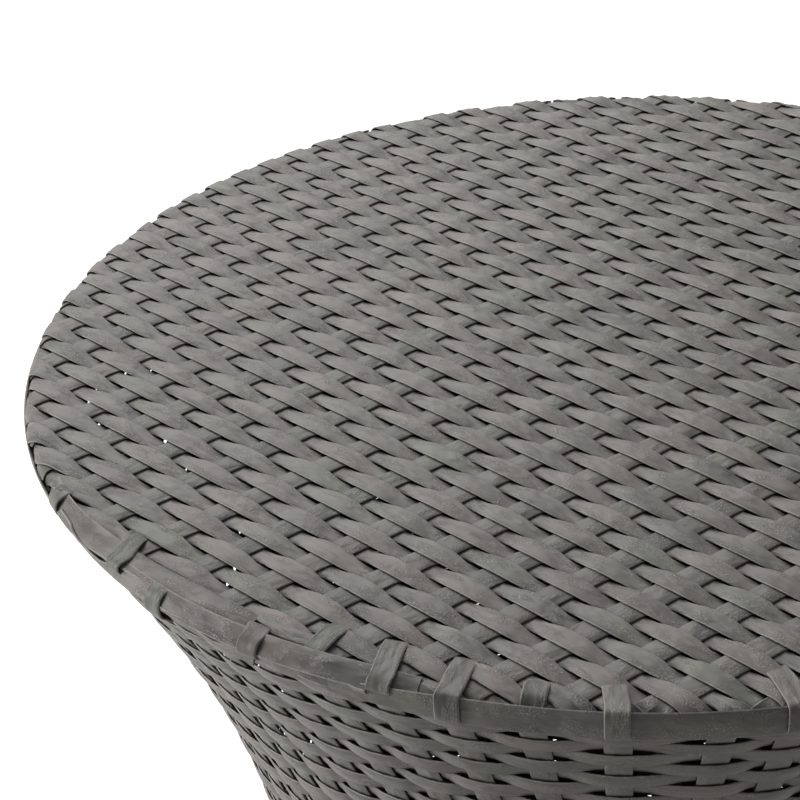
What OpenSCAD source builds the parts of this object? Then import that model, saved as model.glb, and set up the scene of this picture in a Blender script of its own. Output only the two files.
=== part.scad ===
// Round hourglass side table: a steel frame woven over with flat strands.
// Millimetres, +Z up, origin on the floor below the middle of the top.
// The weave is drawn as plain layers of the right thickness and outline.

/* [Overall] */
// Height of the woven top above the floor
height = 550; // [450:5:650]
// Diameter of the top over the rim band
top_d = 460; // [400:5:560]
// Diameter of the woven side at its narrowest
waist_d = 302; // [260:2:340]
// Height of the waist above the floor
waist_z = 275; // [230:5:320]
// How far the foot band lies in from the rim band, on the radius
base_inset = 5; // [0:1:25]

/* [Strands] */
// Width of a strand on the side, the bands and the wraps
strand_w = 8.4; // [7:0.2:10]
// Thickness of every strand
strand_t = 1.4; // [1:0.1:2]
// Gap between strands and what they lie against
lay = 0.3; // [0.2:0.05:0.5]
// Number of upright stakes in the side
stakes = 64; // [48:16:80]
// Spacing of the top's weavers, which lie side by side
weaver_pitch = 7.55; // [7:0.05:10]
// Side gap between two weavers of the top
weaver_gap = 0.1; // [0.1:0.05:0.5]
// Spacing of the top's stakes, which the weavers cross
stake_pitch = 22.7; // [16:0.1:28]
// Direction of the top's weavers, from +X
weaver_angle = -39; // [-90:1:90]

/* [Rim] */
// How far below the top the side's curve would reach the rim band
rim_drop = 5; // [3:0.5:8]
// How far each rim loop lies in over the top
loop_reach = 16; // [12:1:24]
// Bend radius of a loop over the rim
loop_bend = 2.5; // [2:0.1:4]

/* [Frame] */
// Outside diameter of the round tube of the top ring
ring_tube_d = 12; // [10:0.5:14]
// Wall of the top ring's tube
ring_wall = 1.2; // [1:0.1:1.8]
// Vent hole in the underside of the top ring
vent_d = 4; // [3:0.5:5]
// Side of the square tube of the base ring
base_tube = 15; // [14:0.5:18]
// Wall of the base ring's tube
base_wall = 1.5; // [1:0.1:2]
// Number of bent uprights
uprights = 8; // [6:1:10]
// Width of an upright's flat bar
upright_w = 14; // [12:0.5:18]
// Thickness of an upright's flat bar, measured level
upright_t = 4; // [3:0.5:6]
// Diameter of the rod of the three hoops
hoop_rod_d = 6; // [5:0.5:8]
// Distance of the upper and lower hoops from the waist
hoop_offset = 135; // [100:5:150]
// Width of the bars under the top
bar_w = 12; // [10:0.5:16]
// Depth of the bars under the top
bar_h = 12; // [8:0.5:16]
// Wall of the bars under the top
bar_wall = 1.2; // [1:0.1:2]
// Gap left at a welded seat
weld_gap = 0.1; // [0.05:0.05:0.3]

/* [Glides] */
// Number of levelling glides
glides = 4; // [4:4:8]
// Diameter of a glide's foot
foot_d = 30; // [26:1:36]
// Thickness of the foot's round base
foot_base_h = 6; // [5.5:0.5:8]
// Edge radius of the foot
foot_edge = 1.5; // [1:0.25:2]
// Width over flats of the foot's hexagon
hex_af = 14; // [13:0.5:16]
// Diameter of the stud
stud_d = 8; // [6:0.5:9]
// Diameter of the head that the foot holds
head_d = 13; // [12:0.5:16]
// Thickness of the head
head_t = 2; // [1.5:0.25:3]
// Floor of the foot under the head
foot_floor = 1.8; // [1.2:0.1:2.5]
// Running clearance of the stud in its insert and its foot
run = 0.05; // [0.02:0.01:0.1]
// Outside diameter of the threaded insert
insert_d = 10.5; // [10.5:0.1:11.5]
// Length of the insert above the tube's underside
insert_l = 12; // [9:0.5:12.5]
// Diameter of the insert's flange
flange_d = 13.5; // [12:0.5:14]
// Thickness of the insert's flange
flange_t = 1.2; // [1:0.1:1.5]
// Height of the base ring's underside above the floor
base_clear = 13; // [12.5:0.5:18]

/* [Hidden] */
$fn = 96;
// Straight steps that draw the side's curve
CURVE = 20;
// Bands that the side's weavers are parted into, a whole number of steps each
BANDS = 5;
// Stakes that loop over the rim, counted from +X; two of them stand off the even count
LOOPS = [-26, -24, -23, -21, -18, -16, -14, -12, -10, -8, -6, -4, -2, 0, 2, 4, 6, 8, 10];
// Step for measuring a slope
SMALL = 0.01;

rim_r = top_d / 2;
waist_r = waist_d / 2;
base_r = rim_r - base_inset;

// The top, from its upper face down: weavers, stakes, then the frame
weaver_z = height - strand_t;
stake_z = weaver_z - strand_t;
stake_angle = weaver_angle + 90;
tail_r = rim_r - strand_t - lay;
strip_r = tail_r - strand_t - lay;
band_z = height - strand_w - strand_t / 2;
side_top = band_z - lay;

// The base, from the floor up
foot_band_z = base_clear;
foot_band_top = foot_band_z + strand_w;
side_base_r = base_r - strand_t - lay;
side_thick = 2 * strand_t + lay;

// Outer radius of the woven side: two parabolas that meet at the waist
function side_r(z) =
    z <= foot_band_top ? side_base_r :
    z <= waist_z ? waist_r + (side_base_r - waist_r) * pow((waist_z - z) / (waist_z - foot_band_top), 2) :
    waist_r + (rim_r - waist_r) * pow((z - waist_z) / (height - rim_drop - waist_z), 2);
function side_slope(z) = (side_r(z + SMALL) - side_r(z - SMALL)) / (2 * SMALL);

// Heights that sample the side, with one where the upright foot ends and the curve begins
function heights(low, high) =
    let (start = max(low, foot_band_top))
    concat(
        low < start ? [low] : [],
        [for (i = [0 : CURVE]) start + (high - start) * i / CURVE]
    );

// Heights of one band of weavers, taken from those of the whole side so that the bands meet
function band_heights(i) =
    let (z = heights(foot_band_z, side_top), step = CURVE / BANDS)
    [for (j = [(i == 0 ? 0 : i * step + 1) : (i + 1) * step + 1]) z[j]];

// Closed outline of a layer through given heights, a level distance inside the weave's surface
function layer(z, outer, inner) =
    let (last = len(z) - 1)
    concat(
        [for (i = [0 : last]) [side_r(z[i]) - outer, z[i]]],
        [for (i = [last : -1 : 0]) [side_r(z[i]) - inner, z[i]]]
    );

// Top ring, tucked under the top and inside the woven side
ring_rad = ring_tube_d / 2;
ring_z = stake_z - ring_rad;
side_lean = sqrt(1 + pow(side_slope(ring_z), 2));
ring_c = side_r(ring_z) - side_thick - (ring_rad + lay) * side_lean;

// Base ring, just clear of the woven side where its upper edge comes closest
base_ring_top = base_clear + base_tube;
base_ring_out = side_r(base_ring_top) - side_thick - lay;
base_ring_in = base_ring_out - base_tube;
base_ring_mid = base_ring_out - base_tube / 2;

// Uprights, from the base ring's top face to the top ring
upright_out = side_thick + lay;
upright_in = upright_out + upright_t;

// Glides, fully screwed in: the hexagon stops just below the flange
flange_z = base_clear - flange_t;
hex_top = flange_z - lay;
head_z = foot_floor;
stud_top = base_ring_top - base_wall - 2 * lay;

FRAME = "DimGray";
STRAND = [0.48, 0.47, 0.45];
STRAND_DARK = [0.38, 0.37, 0.36];
PLASTIC = [0.12, 0.12, 0.12];

// A ring about Z whose section is a closed 2D child
module round_ring() {
    rotate_extrude($fn = 180) children();
}

// Solid of the top ring's tube, grown by a seat gap
module ring_tube(grow) {
    round_ring() translate([ring_c, ring_z]) circle(r = ring_rad + grow);
}

// Round steel tube that carries the rim
module top_ring() {
    color(FRAME) difference() {
        ring_tube(0);
        round_ring() translate([ring_c, ring_z]) circle(r = ring_rad - ring_wall);
        translate([ring_c, 0, ring_z - ring_tube_d]) cylinder(d = vent_d, h = ring_tube_d);
    }
}

// Square tube along X under the top, from one x to another
module bar(from, to) {
    difference() {
        translate([from, -bar_w / 2, stake_z - bar_h]) cube([to - from, bar_w, bar_h]);
        translate([from - 1, bar_wall - bar_w / 2, stake_z - bar_h + bar_wall])
            cube([to - from + 2, bar_w - 2 * bar_wall, bar_h - 2 * bar_wall]);
    }
}

// Bar across the whole ring, its ends shaped to the ring's tube
module cross_bar_long() {
    color(FRAME) difference() {
        bar(-ring_c, ring_c);
        ring_tube(weld_gap);
    }
}

// Half bar from the long bar's flank to the ring
module cross_bar_half() {
    color(FRAME) difference() {
        bar(bar_w / 2 + weld_gap, ring_c);
        ring_tube(weld_gap);
    }
}

// Flat bar or strand bent along the woven side, centred on +X
module bent_strip(width, low, high, outer, inner) {
    rotate([90, 0, 0]) translate([0, 0, -width / 2]) linear_extrude(width)
        polygon(layer(heights(low, high), outer, inner));
}

// Flat bar bent to the inside of the woven side
module upright(i) {
    color(FRAME) rotate((i + 0.5) * 360 / uprights) difference() {
        bent_strip(upright_w, base_ring_top, ring_z, upright_out, upright_in);
        ring_tube(weld_gap);
    }
}

// Rod hoop welded to the uprights' inner faces
module hoop(z) {
    lean = sqrt(1 + pow(side_slope(z), 2));
    hoop_c = side_r(z) - upright_in - (hoop_rod_d / 2 + weld_gap) * lean;
    color(FRAME) round_ring() translate([hoop_c, z]) circle(d = hoop_rod_d);
}

// Centre of glide i, brought to where its children are drawn
module at_glide(i) {
    rotate((i + 0.5) * 360 / glides) translate([base_ring_mid, 0, 0]) children();
}

// Square steel tube that the uprights stand on, with a hole for each insert
module base_ring() {
    color(FRAME) difference() {
        round_ring() translate([base_ring_in, base_clear]) square(base_tube);
        round_ring() translate([base_ring_in + base_wall, base_clear + base_wall])
            square(base_tube - 2 * base_wall);
        for (i = [0 : glides - 1])
            at_glide(i) translate([0, 0, base_clear - 1])
                cylinder(d = insert_d + 2 * run, h = base_wall + 2);
    }
}

// Upright strands behind the weavers, one every few degrees
module side_stakes() {
    for (i = [0 : stakes - 1])
        color(STRAND_DARK) rotate(i * 360 / stakes)
            bent_strip(strand_w, foot_band_z, side_top, strand_t + lay, side_thick);
}

// Skin that stands for one band of the rows woven round the side, counted from the foot
module side_weavers(i) {
    color(STRAND) round_ring()
        polygon(layer(band_heights(i), 0, strand_t));
}

// Strips of one width and pitch across the top, cut to a circle
module strips(width, pitch, z) {
    count = floor(strip_r / pitch);
    translate([0, 0, z]) linear_extrude(strand_t) intersection() {
        circle(r = strip_r, $fn = 180);
        for (i = [-count : count])
            translate([-strip_r, i * pitch - width / 2]) square([2 * strip_r, width]);
    }
}

// Lower layer of the top: stakes, spaced out
module top_stakes() {
    color(STRAND_DARK) rotate(stake_angle) strips(strand_w, stake_pitch, stake_z);
}

// Upper layer of the top: weavers laid side by side across the stakes
module top_weavers() {
    color(STRAND) rotate(weaver_angle) strips(weaver_pitch - weaver_gap, weaver_pitch, weaver_z);
}

// Ends of the top's strands, folded down behind the rim band
module strand_tails() {
    color(STRAND_DARK) round_ring()
        translate([tail_r - strand_t, band_z]) square([strand_t, height - band_z]);
}

// Strand laid on edge round the rim
module rim_band() {
    color(STRAND) round_ring()
        translate([rim_r - strand_t, band_z]) square([strand_t, strand_w]);
}

// Section of one loop: up the rim band and in over the top
module loop_section() {
    outer = rim_r + lay + strand_t;
    top = height + lay + strand_t;
    difference() {
        union() {
            translate([rim_r + lay, band_z]) square([strand_t, top - loop_bend - band_z]);
            translate([outer - loop_reach, height + lay]) square([loop_reach - loop_bend, strand_t]);
            intersection() {
                translate([outer - loop_bend, top - loop_bend]) circle(r = loop_bend);
                translate([outer - loop_bend, top - loop_bend]) square(loop_bend);
            }
        }
        translate([outer - loop_bend, top - loop_bend]) circle(r = loop_bend - strand_t);
    }
}

// Where these stakes come up, they pass over the rim and tuck into the top
module rim_loops() {
    half = asin(strand_w / 2 / rim_r);
    for (i = LOOPS)
        color(STRAND) rotate(i * 360 / stakes - half)
            rotate_extrude(angle = 2 * half, $fn = 96) loop_section();
}

// Strand laid on edge round the foot
module foot_band() {
    color(STRAND) round_ring()
        translate([base_r - strand_t, foot_band_z]) square([strand_t, strand_w]);
}

// Every second stake passes under the base ring and up its inside
module foot_wraps() {
    half = asin(strand_w / 2 / base_ring_mid);
    under = base_clear - lay - strand_t;
    inside = base_ring_in - lay - strand_t;
    for (i = [1 : 2 : stakes - 1])
        color(STRAND) rotate(i * 360 / stakes - half) rotate_extrude(angle = 2 * half, $fn = 96) {
            translate([inside, under]) square([side_base_r - inside, strand_t]);
            translate([inside, under]) square([strand_t, base_tube]);
        }
}

// Threaded insert pressed up into the base ring's underside
module glide_insert(i) {
    color("Silver") at_glide(i) difference() {
        union() {
            translate([0, 0, flange_z]) cylinder(d = flange_d, h = flange_t);
            translate([0, 0, flange_z]) cylinder(d = insert_d, h = flange_t + insert_l);
        }
        translate([0, 0, flange_z - 1]) cylinder(d = stud_d + 2 * run, h = insert_l + 4);
    }
}

// Threaded stud with the head that its foot holds
module glide_stud(i) {
    color("Silver") at_glide(i) {
        translate([0, 0, head_z]) cylinder(d = head_d, h = head_t);
        translate([0, 0, head_z]) cylinder(d = stud_d, h = stud_top - head_z);
    }
}

// Foot moulded round the stud's head, with a hexagon for a spanner
module glide_foot(i) {
    color(PLASTIC) at_glide(i) difference() {
        union() {
            cylinder(d = foot_d, h = foot_base_h - foot_edge);
            cylinder(d = foot_d - 2 * foot_edge, h = foot_base_h);
            translate([0, 0, foot_base_h - foot_edge]) rotate_extrude()
                translate([foot_d / 2 - foot_edge, 0]) circle(r = foot_edge, $fn = 48);
            cylinder(d = hex_af / cos(30), h = hex_top, $fn = 6);
        }
        translate([0, 0, head_z - run]) cylinder(d = head_d + 2 * run, h = head_t + 2 * run);
        translate([0, 0, head_z]) cylinder(d = stud_d + 2 * run, h = hex_top);
    }
}

top_ring();
cross_bar_long();
rotate(-90) cross_bar_half();  // cross_bar_front
rotate(90) cross_bar_half();  // cross_bar_back
upright(0);  // upright_1
upright(1);  // upright_2
upright(2);  // upright_3
upright(3);  // upright_4
upright(4);  // upright_5
upright(5);  // upright_6
upright(6);  // upright_7
upright(7);  // upright_8
hoop(waist_z + hoop_offset);  // upper_hoop
hoop(waist_z);  // waist_hoop
hoop(waist_z - hoop_offset);  // lower_hoop
base_ring();
side_stakes();
side_weavers(0);  // side_weavers_1
side_weavers(1);  // side_weavers_2
side_weavers(2);  // side_weavers_3
side_weavers(3);  // side_weavers_4
side_weavers(4);  // side_weavers_5
top_stakes();
top_weavers();
strand_tails();
rim_band();
rim_loops();
foot_band();
foot_wraps();
glide_insert(0);  // glide_insert_1
glide_insert(1);  // glide_insert_2
glide_insert(2);  // glide_insert_3
glide_insert(3);  // glide_insert_4
glide_stud(0);  // glide_stud_1
glide_stud(1);  // glide_stud_2
glide_stud(2);  // glide_stud_3
glide_stud(3);  // glide_stud_4
glide_foot(0);  // glide_foot_1
glide_foot(1);  // glide_foot_2
glide_foot(2);  // glide_foot_3
glide_foot(3);  // glide_foot_4
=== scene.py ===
# %% [markdown]
# # A round side table woven over a steel frame
#
# The table is a bent steel frame that somebody has woven over with flat resin strand. The frame comes
# from the CAD model and keeps its shape here. What the eye sees is the weave, and in the CAD model that
# is only a few plain layers, so this lesson lays every strand over and under its neighbours.
# We start by loading the CAD model. Its nodes are the fixed frame that everything else must fit.

# %% Load the frame
import math
import bmesh
import bpy
import numpy as np
from mathutils import Matrix, Vector


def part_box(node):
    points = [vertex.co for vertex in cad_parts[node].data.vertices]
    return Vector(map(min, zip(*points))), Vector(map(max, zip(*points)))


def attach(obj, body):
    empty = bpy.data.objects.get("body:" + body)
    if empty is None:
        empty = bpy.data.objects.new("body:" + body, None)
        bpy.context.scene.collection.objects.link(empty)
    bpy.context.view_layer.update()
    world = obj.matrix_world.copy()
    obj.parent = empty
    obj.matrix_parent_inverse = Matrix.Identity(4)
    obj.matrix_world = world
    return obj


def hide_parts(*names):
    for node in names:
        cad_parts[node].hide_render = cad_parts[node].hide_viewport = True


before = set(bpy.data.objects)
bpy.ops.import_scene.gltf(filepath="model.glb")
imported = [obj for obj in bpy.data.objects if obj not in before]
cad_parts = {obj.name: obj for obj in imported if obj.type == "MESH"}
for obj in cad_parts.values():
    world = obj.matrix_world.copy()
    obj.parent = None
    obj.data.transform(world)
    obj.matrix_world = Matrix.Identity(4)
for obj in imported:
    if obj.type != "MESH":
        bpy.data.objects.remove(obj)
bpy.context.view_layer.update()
print("CAD nodes:", len(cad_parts))

# %% [markdown]
# ## Camera
#
# The camera was worked out from the ellipse of the rim and the grid of the weave. It stands in front of
# the table, a little above it, and looks at the left part of the top. Its place is in metres.

# %% Camera
RIGHT = Vector((0.993454, 0.100152, -0.054951))
UP = Vector((-0.004306, 0.513522, 0.858065))
BACK = Vector((0.114155, -0.852212, 0.510592))
lens = bpy.data.cameras.new("camera")
lens.sensor_width = 36
lens.lens = 90.703
lens.clip_start = 0.02
camera = bpy.data.objects.new("camera", lens)
camera.matrix_world = Matrix((RIGHT, UP, BACK)).transposed().to_4x4()
camera.matrix_world.translation = (0, -0.674861, 0.920284)
bpy.context.scene.collection.objects.link(camera)
bpy.context.scene.camera = camera
bpy.context.scene.view_settings.view_transform = "Standard"
print("camera stands", round(camera.location.length, 3), "m from the foot of the table's axis")

# %% [markdown]
# ## Sizes
#
# These repeat the named sizes of the CAD model in metres. A strand is a little thinner here than its CAD
# layer, so that one strand can cross another inside the same space.

# %% Sizes
TOP = 0.550
RIM_R = 0.230
WAIST_R = 0.151
WAIST_Z = 0.275
BASE_R = 0.225
RIM_DROP = 0.005
STRAND_W = 0.0084
STRAND_T = 0.00085
LAYER_T = 0.0014
LAY = 0.0003
BASE_CLEAR = 0.013
BASE_TUBE = 0.015
STAKES = 64
STEP = math.radians(360 / STAKES)
BAND_LOW = TOP - STRAND_W - LAYER_T / 2
SIDE_TOP = BAND_LOW - LAY
SIDE_LOW = BASE_CLEAR + STRAND_W + LAY
FOOT_R = BASE_R - LAYER_T - LAY


def side_radius(z):
    """Outer radius of the woven side at height z: two parabolas that meet at the waist."""
    z = np.asarray(z, float)
    low = (FOOT_R - WAIST_R) * ((WAIST_Z - z) / (WAIST_Z - BASE_CLEAR - STRAND_W)) ** 2
    high = (RIM_R - WAIST_R) * ((z - WAIST_Z) / (TOP - RIM_DROP - WAIST_Z)) ** 2
    curve = WAIST_R + np.where(z < WAIST_Z, low, high)
    return np.where(z < BASE_CLEAR + STRAND_W, FOOT_R, curve)


def side_slope(z):
    """How fast the side's radius grows with height."""
    return (side_radius(z + 1e-5) - side_radius(z - 1e-5)) / 2e-5


print("rim, waist and foot radii:", side_radius([TOP - RIM_DROP, WAIST_Z, 0.0]))

# %% [markdown]
# ## One way to make every strand
#
# Each strand is a flat strip with rounded edges that follows a path. A curve object with a bevel could
# do it, but it can't change the strip's width or keep it flat against a surface. So each strand starts
# as a bmesh grid: one side of the grid runs along the strand, the other runs round its section. The
# grid's points are moved to their places, the seam is merged, and the two ends are filled.
#
# Each point also remembers where it lies on the strand, in an attribute called lay, and how high the
# strand runs there, from -1 in a dive to 1 on a float, in one called rise. The finish reads both, so the
# grain follows every bend, painted shade darkens the dives and a painted highlight lightens the floats'
# edges. Each strand has a number too, which gives it its own tone of grey: a loop or a wrap shares the
# number of the stake that it belongs to.

# %% Strand maker
FLAT = np.array([(1.0, 0.0), (0.965, 0.6), (0.88, 1.0), (0.0, 1.08), (-0.88, 1.0), (-0.965, 0.6),
                 (-1.0, 0.0), (-0.9, -0.95), (0.9, -0.95)])
CUPPED = np.array([(1.0, 0.0), (0.965, 0.6), (0.88, 1.0), (0.45, 1.06), (0.0, 1.08), (-0.45, 1.06),
                   (-0.88, 1.0), (-0.965, 0.6), (-1.0, 0.0), (-0.9, -0.95), (0.0, -0.95), (0.9, -0.95)])
SHARP = 0.45
MERGE = 1e-6
TOP_WEAVER_NO = 100
TOP_STAKE_NO = 300
WEAVER_NO = 500
STAKE_NO = 700


def unit(vectors):
    """Each row of vectors at length 1."""
    return vectors / np.linalg.norm(vectors, axis=1)[:, None]


def strand(path, across, width, number, cup=0.0, closed=False, rise=1.0):
    """Gathers what one strand needs: its path, its width's direction, its sizes, and how far it rises."""
    path = np.asarray(path, float)
    if closed:
        ahead = np.vstack([path[1:], path[1:2]])
        behind = np.vstack([path[-2:-1], path[:-1]])
    else:
        ahead = np.vstack([path[1:], path[-1:]])
        behind = np.vstack([path[:1], path[:-1]])
    along = unit(ahead - behind)
    up = unit(np.cross(along, across))
    steps = np.linalg.norm(np.diff(path, axis=0), axis=1)
    return {
        "path": path,
        "across": unit(np.cross(up, along)),
        "up": up,
        "width": np.broadcast_to(width, len(path)),
        "rise": np.broadcast_to(rise, len(path)),
        "cup": cup,
        "section": CUPPED if cup else FLAT,
        "number": number,
        "length": np.concatenate([[0], np.cumsum(steps)]),
    }


def place_strand(one, ring, side):
    """Spots, lay and rise of the points of one strand, from their ring and their place in the section."""
    place, height = one["section"][side].T
    across = place * one["width"][ring] / 2
    lift = height * STRAND_T / 2 - one["cup"] * place * place
    spot = one["path"][ring] + one["across"][ring] * across[:, None] + one["up"][ring] * lift[:, None]
    lay = np.stack([one["length"][ring], place, np.full(len(ring), float(one["number"]))], 1)
    return spot, lay, one["rise"][ring]


def sharpen(shape):
    """Smooth faces, with a crisp line wherever two faces meet at more than the sharp angle."""
    for face in shape.faces:
        face.smooth = True
    for edge in shape.edges:
        edge.smooth = edge.calc_face_angle(0) < SHARP


def weave_piece(name, strands, bend=None):
    """One object of many strands; bend moves all the points once they are in place."""
    shape = bmesh.new()
    for one in strands:
        bmesh.ops.create_grid(shape, x_segments=len(one["path"]) - 1, y_segments=len(one["section"]), size=1)
    mesh = bpy.data.meshes.new(name)
    shape.to_mesh(mesh)
    shape.free()
    grid = np.empty(len(mesh.vertices) * 3, np.float32)
    mesh.vertices.foreach_get("co", grid)
    grid = grid.reshape(-1, 3)
    spots = np.empty((len(grid), 3))
    lays = np.empty((len(grid), 3))
    rises = np.empty(len(grid))
    start = 0
    for one in strands:
        rings = len(one["path"])
        sides = len(one["section"])
        end = start + rings * (sides + 1)
        ring = np.rint((grid[start:end, 0] + 1) / 2 * (rings - 1)).astype(int)
        side = np.rint((grid[start:end, 1] + 1) / 2 * sides).astype(int) % sides
        spots[start:end], lays[start:end], rises[start:end] = place_strand(one, ring, side)
        start = end
    if bend:
        spots = bend(spots)
    mesh.vertices.foreach_set("co", spots.astype(np.float32).ravel())
    lay = mesh.attributes.new("lay", "FLOAT_VECTOR", "POINT")
    lay.data.foreach_set("vector", lays.astype(np.float32).ravel())
    rise = mesh.attributes.new("rise", "FLOAT", "POINT")
    rise.data.foreach_set("value", rises.astype(np.float32))
    shape = bmesh.new()
    shape.from_mesh(mesh)
    bmesh.ops.remove_doubles(shape, verts=shape.verts, dist=MERGE)
    bmesh.ops.holes_fill(shape, edges=[e for e in shape.edges if e.is_boundary], sides=0)
    bmesh.ops.recalc_face_normals(shape, faces=shape.faces)
    sharpen(shape)
    shape.to_mesh(mesh)
    shape.free()
    piece = bpy.data.objects.new(name, mesh)
    bpy.context.scene.collection.objects.link(piece)
    triangles = sum(len(p.vertices) - 2 for p in mesh.polygons)
    print(name, len(strands), "strands,", triangles, "triangles")
    return piece


# %% [markdown]
# ## How two strands pass each other
#
# A stiff strand stays flat where it rests on another and bends quickly in between. A plain cosine is too
# soft for that, so this wave is held flat near each crossing. Hand work is never even, so each strand
# also gets a slow wobble of its own from a seeded generator.

# %% Waves and wobble
hand = np.random.default_rng(54)
SWELLS = (1.0, 0.53, 0.31)


def held_wave(x, flat):
    """+1 near even x and -1 near odd x, held for flat on both sides, with a smooth step between."""
    near_even = np.abs(np.mod(x, 2) - 1)
    t = np.clip((near_even - flat) / (1 - 2 * flat), 0, 1)
    return 2 * t * t * (3 - 2 * t) - 1


def wobble(x, size, wave):
    """A slow random line through x, about size high, with a swell every wave."""
    line = np.zeros(len(x))
    for part in SWELLS:
        line += part * np.sin(2 * math.pi * (x / (wave * part) + hand.random()))
    return size * line / sum(SWELLS)


print("held wave at 0, 0.3, 0.5, 0.7 and 1:", held_wave(np.array([0, 0.3, 0.5, 0.7, 1]), 0.3))

# %% [markdown]
# ## The map of the woven top
#
# The top is a plain weave. Weavers lie side by side and cross stakes that stand well apart. Count the
# stakes with m and the weavers with k. In an even weave the crossings would lie on a straight grid, but the
# photograph's grid fans out and drifts, as hand work does. Two quadratic formulas in m and k, in units of
# the top's radius, give the drift, and a short list says how far each stake was laid to one side. The
# weavers run along growing m, the stakes along growing k. WEAVE_Z is the middle of the weave, and the
# lifts say how far a strand rises above it on a float and sinks below it in a dive.

# %% Map of the top
GRID_X = (-0.068186, 0.075127, 0.022715, 0.000074, 0.000035, -0.000016)
GRID_Y = (0.071502, -0.062745, 0.023424, -0.000179, -0.000186, 0.000029)
STAKE_SHIFT = (0.18, 0.12, 0.04, -0.03, -0.09, -0.10, -0.08, -0.07, -0.02, 0.0,
               0.09, 0.12, 0.13, 0.12, 0.10, 0.02, -0.04, -0.12, -0.30)
STAKE_MIDDLE = -0.19
WEAVE_Z = 0.5486
WEAVER_LIFT = 0.00090
STAKE_LIFT = 0.00022
BULGE = 0.00012


def top_point(m, k):
    """Place on the woven top, in metres, of stake count m and weaver count k."""
    m = m + np.interp(m, np.arange(-9, 10), STAKE_SHIFT)
    terms = np.stack([np.ones_like(m), m, k, m * m, m * k, k * k])
    return RIM_R * np.stack([np.dot(GRID_X, terms), np.dot(GRID_Y, terms)], 1)


def square_to(flat):
    """The level direction square to a flat path, at each of its points."""
    tangent = np.gradient(flat, axis=0)
    return unit(np.column_stack([-tangent[:, 1], tangent[:, 0], np.zeros(len(flat))]))


middle = top_point(np.array([0.0, 1.0, 0.0]), np.array([0.0, 0.0, 1.0]))
print("stake pitch and weaver pitch along the grid, mm:",
      np.round(1000 * np.linalg.norm(middle[1:] - middle[0], axis=1), 1))

# %% [markdown]
# ## Where the top's strands end
#
# Every strand of the top runs out over the rim, bends down and ends behind the rim band. Rather than
# bend each path, we lay the strands flat and then wrap whatever lies beyond the edge down a quarter
# circle. A strand that meets the rim at a slant then twists over it in the right way by itself. At the
# front the band stands above the edge and hides it. Away from there the edge lies a little further out.

# %% Rim wrap
WRAP = 0.0034
EDGE_R = 0.2272 - WRAP
EDGE_OUT = 0.0012
FRONT = 50
FRONT_HALF = 60
FRONT_EASE = 12
TAIL = 0.0018


def wrap_rim(spots):
    """Wraps the points beyond the edge down round the rim, further out where no band stands above it."""
    radius = np.hypot(spots[:, 0], spots[:, 1])
    from_front = np.abs(np.degrees(np.arctan2(spots[:, 1], spots[:, 0])) + FRONT)
    from_front = np.minimum(from_front, 360 - from_front)
    edge = EDGE_R + EDGE_OUT * np.clip((from_front - FRONT_HALF) / FRONT_EASE, 0, 1)
    near_edge = np.clip((radius - edge + 0.003) / 0.006, 0, 1)
    lift = (spots[:, 2] - WEAVE_Z) * (1 - 0.15 * near_edge)
    over = np.maximum(radius - edge, 0)
    turn = np.minimum(over / WRAP, math.pi / 2)
    past = np.maximum(over - WRAP * math.pi / 2, 0)
    new_radius = np.minimum(radius, edge) + (WRAP + lift) * np.sin(turn)
    new_z = WEAVE_Z - WRAP + (WRAP + lift) * np.cos(turn) - past
    flat = spots[:, :2] * (new_radius / np.maximum(radius, 1e-6))[:, None]
    return np.column_stack([flat, new_z])


def rings_over_top(points, spacing):
    """Where along a finely drawn path the rings go: evenly, and closer where it goes over the rim."""
    radius = np.hypot(points[:, 0], points[:, 1])
    inside = radius < EDGE_R + WRAP * math.pi / 2 + TAIL
    if inside.sum() < 12:
        return None
    chosen = np.flatnonzero(inside)
    steps = np.linalg.norm(np.diff(points[chosen], axis=0), axis=1)
    climb = np.abs(np.diff(radius[chosen])) * (radius[chosen][1:] > EDGE_R - 0.002)
    count = np.concatenate([[0], np.cumsum(steps / spacing + climb / 0.0012)])
    wanted = np.linspace(0, count[-1], int(count[-1]) + 2)
    return np.interp(wanted, count, chosen)


# %% [markdown]
# ## Weavers of the top
#
# Weaver s floats over every second stake and dives under the ones between. Its neighbours do the opposite.
# Halfway between two stakes all of them are level and have to share the room, so there each is drawn in,
# which leaves small dark gaps beside the stakes. Over a stake it spreads out again and laps its neighbours,
# and under a stake it is a little narrower.

# %% Top weavers
HOLD = 0.11
SPREAD_OUT = 1.085
DRAWN_IN = 0.235
DRAWN_UNDER = 0.08


def weaver_room(m, k):
    """Distance between the middles of two neighbouring weavers, measured square to them."""
    side = top_point(m, k + 0.5) - top_point(m, k - 0.5)
    along = top_point(m + 0.05, k) - top_point(m - 0.05, k)
    return np.abs(side[:, 0] * along[:, 1] - side[:, 1] * along[:, 0]) / np.linalg.norm(along, axis=1)


def top_weaver(s):
    """Weaver s of the top, or nothing where it would miss the top."""
    fine_m = np.linspace(-14, 14, 2801)
    k = np.full(len(fine_m), s + 0.5) + wobble(fine_m, 0.03, 9.0)
    rings = rings_over_top(top_point(fine_m, k), 0.0028)
    if rings is None:
        return None
    m = np.interp(rings, np.arange(len(fine_m)), fine_m)
    k = np.interp(rings, np.arange(len(fine_m)), k)
    flat = top_point(m, k)
    x = m - STAKE_MIDDLE - s
    wave = held_wave(x, HOLD)
    from_stake = np.abs(x - np.rint(x))
    lift = WEAVER_LIFT * wave + BULGE * np.maximum(wave, 0) * np.cos(math.pi * from_stake)
    level = np.exp(-(((from_stake - 0.5) / 0.16) ** 2))
    drawn = DRAWN_IN * level + DRAWN_UNDER * np.maximum(-wave, 0)
    share = SPREAD_OUT + 0.015 * hand.standard_normal() - drawn
    path = np.column_stack([flat, WEAVE_Z + lift])
    return strand(path, square_to(flat), weaver_room(m, k) * share, s + TOP_WEAVER_NO, rise=wave)


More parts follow.
